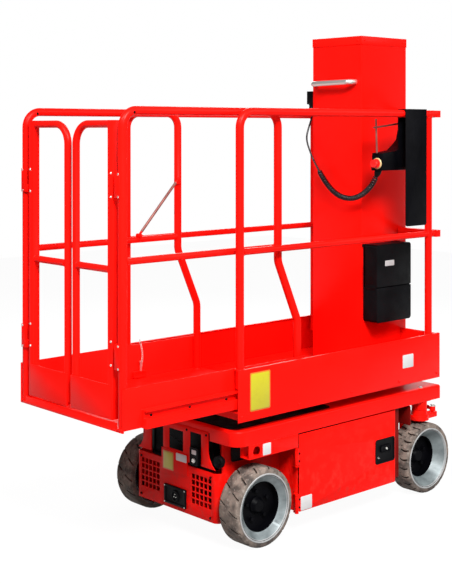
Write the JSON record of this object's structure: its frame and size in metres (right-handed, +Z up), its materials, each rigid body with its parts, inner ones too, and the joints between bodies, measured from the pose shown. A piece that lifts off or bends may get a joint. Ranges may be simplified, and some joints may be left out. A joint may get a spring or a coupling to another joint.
{
  "type": "vertical-mast order picker",
  "caption": "Self-propelled order picker with a telescopic mast, a railed platform with a roll-out deck, saloon gates, steered wheels and side doors.",
  "frame": {"origin": "on the floor under the middle of the machine, with the roll-out deck pulled out", "axes": "+X towards the mast end, +Z up, the near side at -Y"},
  "size_m": [1.816, 0.744, 2.022],
  "materials": {
    "red_paint": "satin powder coat",
    "tyre": "matt grey non-marking rubber",
    "rim_paint": "satin silver paint",
    "black_plastic": "fine grain",
    "battery_case": "satin",
    "black_steel": "satin powder coat",
    "bright_steel": "brushed",
    "red_plastic": "gloss",
    "cord_rubber": "satin"
  },
  "bodies": {
    "chassis": {"chassis_tray": "red_paint", "tie_down_channels": "red_paint", "chassis_frame": "red_paint", "nose_panel": "red_paint", "cowl_panel": "red_paint", "rear_cover": "red_paint", "charger_inlet": "black_plastic", "battery_pack": "battery_case", "drive_motors": "black_steel", "mast_base": "red_paint"},
    "door_near": {"door_near": "red_paint"},
    "door_far": {"door_far": "red_paint"},
    "drive_wheel_near": {"drive_tyre_near": "tyre", "drive_rim_near": "rim_paint"},
    "drive_wheel_far": {"drive_tyre_far": "tyre", "drive_rim_far": "rim_paint"},
    "steer_wheel_near": {"steer_tyre_near": "tyre", "steer_rim_near": "rim_paint"},
    "steer_wheel_far": {"steer_tyre_far": "tyre", "steer_rim_far": "rim_paint"},
    "knuckle_near": {"knuckle_near": "red_paint"},
    "knuckle_far": {"knuckle_far": "red_paint"},
    "tie_rod": {"tie_rod": "red_paint"},
    "mast_middle": {"mast_middle": "red_paint"},
    "platform": {"mast_box": "red_paint", "grab_bar": "bright_steel", "document_box": "black_plastic", "platform_floor": "red_paint", "platform_side_near": "red_paint", "platform_side_far": "red_paint", "platform_rail_near": "red_paint", "platform_rail_far": "red_paint", "control_bracket": "black_steel", "control_box": "black_steel", "stop_button": "red_plastic", "cord_socket": "black_plastic", "cord_tail": "cord_rubber", "cord_coil": "cord_rubber", "cord_gland": "black_plastic"},
    "document_lid": {"document_lid": "black_plastic"},
    "roll_deck": {"roll_tray": "red_paint", "roll_rail_near": "red_paint", "roll_rail_far": "red_paint"},
    "gate_near": {"gate_near": "red_paint"},
    "gate_far": {"gate_far": "red_paint"}
  },
  "joints": [
    {"name": "drive_wheel_near_spin", "type": "hinge", "parent": "chassis", "child": "drive_wheel_near", "pos_m": [-0.253, -0.321, 0.1525], "axis": [0, 1, 0], "continuous": true},
    {"name": "drive_wheel_far_spin", "type": "hinge", "parent": "chassis", "child": "drive_wheel_far", "pos_m": [-0.253, 0.321, 0.1525], "axis": [0, 1, 0], "continuous": true},
    {"name": "steering", "type": "hinge", "parent": "chassis", "child": "knuckle_near", "pos_m": [0.7555, -0.321, 0.36], "axis": [0, 0, 1], "range_deg": [-55, 55]},
    {"name": "steering_far", "type": "hinge", "parent": "chassis", "child": "knuckle_far", "pos_m": [0.7555, 0.321, 0.36], "axis": [0, 0, 1], "range_deg": [-55, 55]},
    {"name": "tie_rod_pivot", "type": "hinge", "parent": "knuckle_near", "child": "tie_rod", "pos_m": [0.8505, -0.321, 0.351], "axis": [0, 0, 1], "range_deg": [-55, 55]},
    {"name": "steer_wheel_near_spin", "type": "hinge", "parent": "knuckle_near", "child": "steer_wheel_near", "pos_m": [0.7555, -0.321, 0.1525], "axis": [0, 1, 0], "continuous": true},
    {"name": "steer_wheel_far_spin", "type": "hinge", "parent": "knuckle_far", "child": "steer_wheel_far", "pos_m": [0.7555, 0.321, 0.1525], "axis": [0, 1, 0], "continuous": true},
    {"name": "platform_lift", "type": "slide", "parent": "mast_middle", "child": "platform", "axis": [0, 0, 1], "range_m": [0, 1.4]},
    {"name": "mast_lift", "type": "slide", "parent": "chassis", "child": "mast_middle", "axis": [0, 0, 1], "range_m": [0, 1.4]},
    {"name": "deck_roll", "type": "slide", "parent": "platform", "child": "roll_deck", "axis": [1, 0, 0], "range_m": [0, 0.5]},
    {"name": "gate_near_hinge", "type": "hinge", "parent": "roll_deck", "child": "gate_near", "pos_m": [-0.888, -0.279, 1.1], "axis": [0, 0, -1], "range_deg": [0, 80], "stiffness_Nm_per_rad": 3, "springref_deg": -5.73},
    {"name": "gate_far_hinge", "type": "hinge", "parent": "roll_deck", "child": "gate_far", "pos_m": [-0.888, 0.279, 1.1], "axis": [0, 0, 1], "range_deg": [0, 80], "stiffness_Nm_per_rad": 3, "springref_deg": -5.73},
    {"name": "door_near_hinge", "type": "hinge", "parent": "chassis", "child": "door_near", "pos_m": [-0.06, -0.354, 0.214], "axis": [0, 0, -1], "range_deg": [0, 110]},
    {"name": "door_far_hinge", "type": "hinge", "parent": "chassis", "child": "door_far", "pos_m": [-0.06, 0.354, 0.214], "axis": [0, 0, 1], "range_deg": [0, 110]},
    {"name": "document_lid_hinge", "type": "hinge", "parent": "platform", "child": "document_lid", "pos_m": [0.694, -0.155, 1.088], "axis": [-1, 0, 0], "range_deg": [0, 38]}
  ],
  "couplings": [
    {"joint": "steering_far", "follows": "steering", "ratio": 1},
    {"joint": "tie_rod_pivot", "follows": "steering", "ratio": -1},
    {"joint": "mast_lift", "follows": "platform_lift", "ratio": 1}
  ]
}
